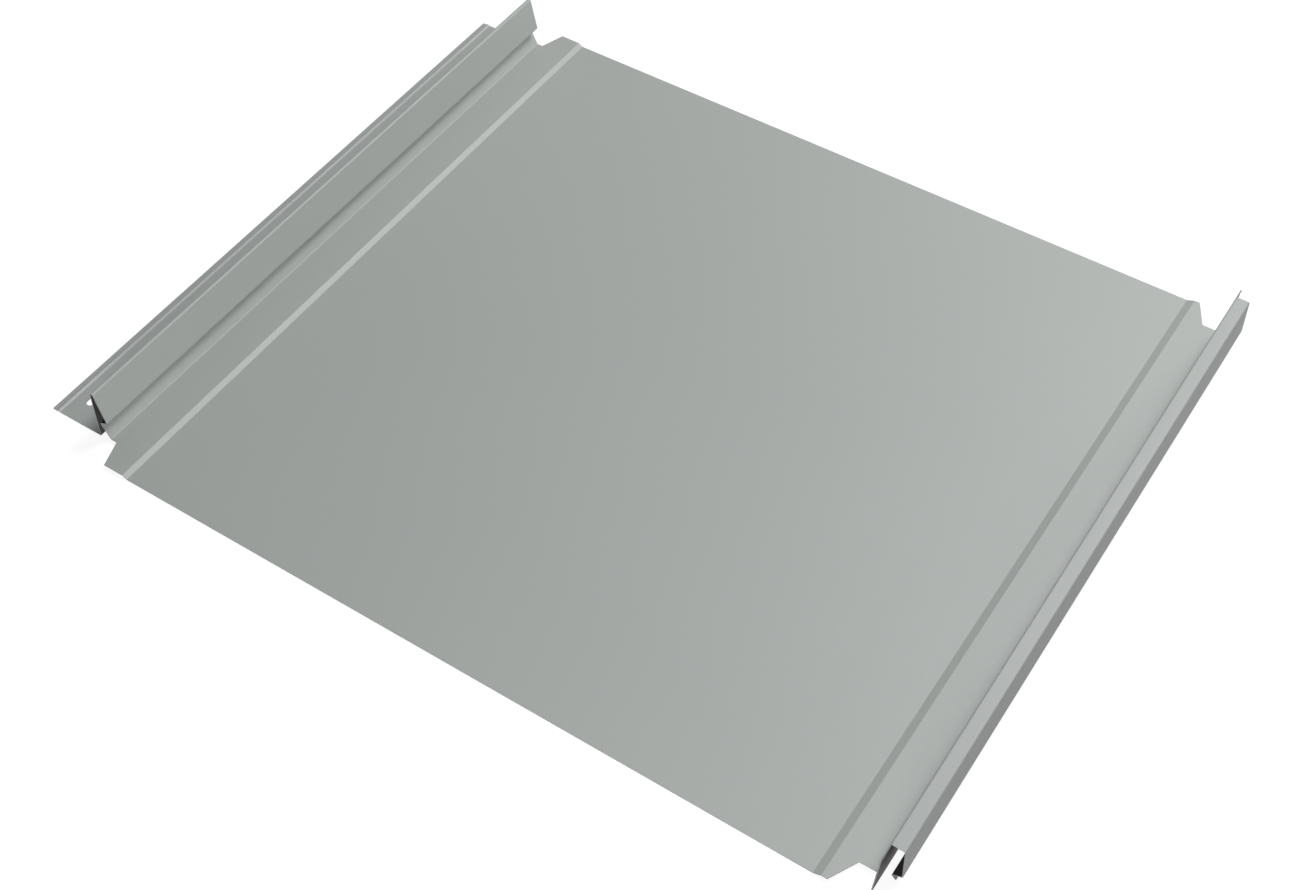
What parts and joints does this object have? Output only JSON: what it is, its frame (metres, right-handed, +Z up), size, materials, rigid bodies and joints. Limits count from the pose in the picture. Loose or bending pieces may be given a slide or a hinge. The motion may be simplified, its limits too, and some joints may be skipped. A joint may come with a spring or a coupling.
{
  "type": "standing seam roof panel",
  "caption": "Roll-formed sheet steel roof panel with a flat lowered pan, a male rib with a slotted fixing flange along one edge, and a hooked female snap seam along the other.",
  "frame": {"origin": "middle of the panel's outline, on the deck that the pan lies on", "axes": "+X across the panel from the fixing flange to the hooked seam, +Y along the seams from the front end to the back end, +Z up from the deck"},
  "size_m": [0.5514, 0.449, 0.0381],
  "materials": {
    "coated_sheet": "smooth light grey organic coating with a soft satin sheen on the weather side, dark grey backing coat on the underside"
  },
  "bodies": {
    "root": {"roof_panel": "coated_sheet"}
  },
  "joints": []
}
